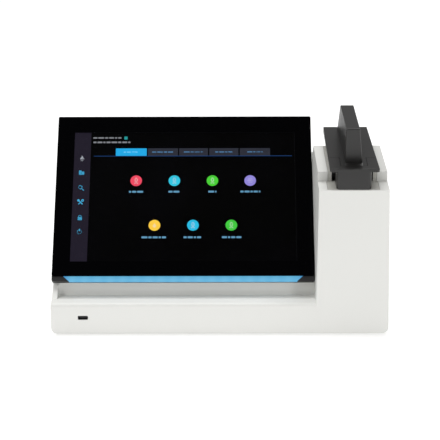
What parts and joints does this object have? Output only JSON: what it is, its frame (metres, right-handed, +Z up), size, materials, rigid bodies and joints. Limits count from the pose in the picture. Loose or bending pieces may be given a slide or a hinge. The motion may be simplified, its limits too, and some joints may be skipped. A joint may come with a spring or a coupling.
{
  "type": "microvolume spectrophotometer",
  "caption": "Bench microvolume spectrophotometer: low white base with a tilted touch screen and a tower with a hinged measuring arm.",
  "frame": {"origin": "on the table, under the middle of the whole instrument's box", "axes": "+X to the right seen from the front, +Y to the back, +Z up"},
  "size_m": [0.3196, 0.2084, 0.205],
  "materials": {
    "housing_white": "fine moulded texture",
    "grey_plastic": "fine moulded texture",
    "rubber": "matt",
    "seal_rubber": "matt",
    "screen_glass": "polished, black border printed behind",
    "lcd_panel": "lit screen",
    "black_plastic": "satin",
    "light_bar": "frosted diffuser, lit blue",
    "circuit_board": "solder mask",
    "steel": "ground",
    "ribbon": "flat cable",
    "liner_grey": "fine moulded texture",
    "polished_steel": "polished",
    "arm_grey": "fine moulded texture",
    "cast_aluminium": "bead blasted",
    "sheet_steel": "satin paint",
    "motor_black": "satin paint",
    "brass": "turned",
    "nylon": "natural",
    "lens_glass": "polished",
    "fibre_jacket": "jacketed",
    "anodised_black": "black anodised",
    "grating_mirror": "ruled",
    "chip_ceramic": "package",
    "rocker_black": "satin",
    "port_steel": "plated",
    "fan_black": "satin",
    "screw_steel": "zinc plated"
  },
  "bodies": {
    "base": {"base_plate": "grey_plastic", "base_screws": "screw_steel", "board_screws": "screw_steel", "board_standoffs": "brass", "deck_liner": "liner_grey", "detector_array": "chip_ceramic", "detector_board": "circuit_board", "display_back_cover": "black_plastic", "display_bracket": "steel", "display_frame": "black_plastic", "display_glass": "screen_glass", "display_ribbon": "ribbon", "display_screws": "screw_steel", "ethernet_port": "port_steel", "fan_frame": "fan_black", "fan_screws": "screw_steel", "fibre_lamp": "fibre_jacket", "fibre_lower": "fibre_jacket", "flash_lamp": "motor_black", "front_port_board": "circuit_board", "front_usb_port": "black_plastic", "grating": "grating_mirror", "grating_mount": "anodised_black", "hinge_block": "cast_aluminium", "hinge_pin": "steel", "hinge_screws": "screw_steel", "lamp_ferrule": "brass", "lamp_window": "lens_glass", "lcd_module": "lcd_panel", "light_bar": "light_bar", "light_bar_board": "circuit_board", "lower_pedestal": "polished_steel", "main_board": "circuit_board", "main_housing": "housing_white", "panel_screws": "screw_steel", "pedestal_ring": "seal_rubber", "plunger_guide": "nylon", "port_stand": "nylon", "power_jack": "black_plastic", "power_switch_body": "black_plastic", "rear_panel": "sheet_steel", "rear_usb_ports": "port_steel", "rubber_feet": "rubber", "spectrometer_body": "anodised_black", "spectrometer_lid": "anodised_black", "stepper_motor": "motor_black", "tower_chassis": "sheet_steel"},
    "arm": {"arm_cover": "arm_grey", "arm_head": "arm_grey", "arm_frame": "cast_aluminium", "arm_bottom_cover": "arm_grey", "arm_screws": "screw_steel", "upper_pedestal": "polished_steel", "fibre_upper": "fibre_jacket"},
    "screw": {"lead_screw": "steel"},
    "plunger": {"lift_plunger": "brass"},
    "rocker": {"power_rocker": "rocker_black"},
    "fan": {"fan_rotor": "fan_black"}
  },
  "joints": [
    {"name": "arm_hinge", "type": "hinge", "parent": "base", "child": "arm", "pos_m": [0.1226, -0.00275, 0.152], "axis": [-1, 0, 0], "range_deg": [0, 65]},
    {"name": "plunger_lift", "type": "slide", "parent": "base", "child": "plunger", "axis": [0, 0, 1], "range_m": [-0.001, 0]},
    {"name": "screw_turn", "type": "hinge", "parent": "base", "child": "screw", "pos_m": [0.1226, -0.05075, 0.14], "axis": [0, 0, 1], "range_deg": [-720, 0]},
    {"name": "switch_rocker", "type": "hinge", "parent": "base", "child": "rocker", "pos_m": [-0.088, 0.09665, 0.04], "axis": [1, 0, 0], "range_deg": [0, 16]},
    {"name": "fan_spin", "type": "hinge", "parent": "base", "child": "fan", "pos_m": [0.044, 0.09, 0.036], "axis": [0, 1, 0], "continuous": true}
  ],
  "couplings": [
    {"joint": "screw_turn", "follows": "plunger_lift", "rad_per_m": 12566}
  ]
}
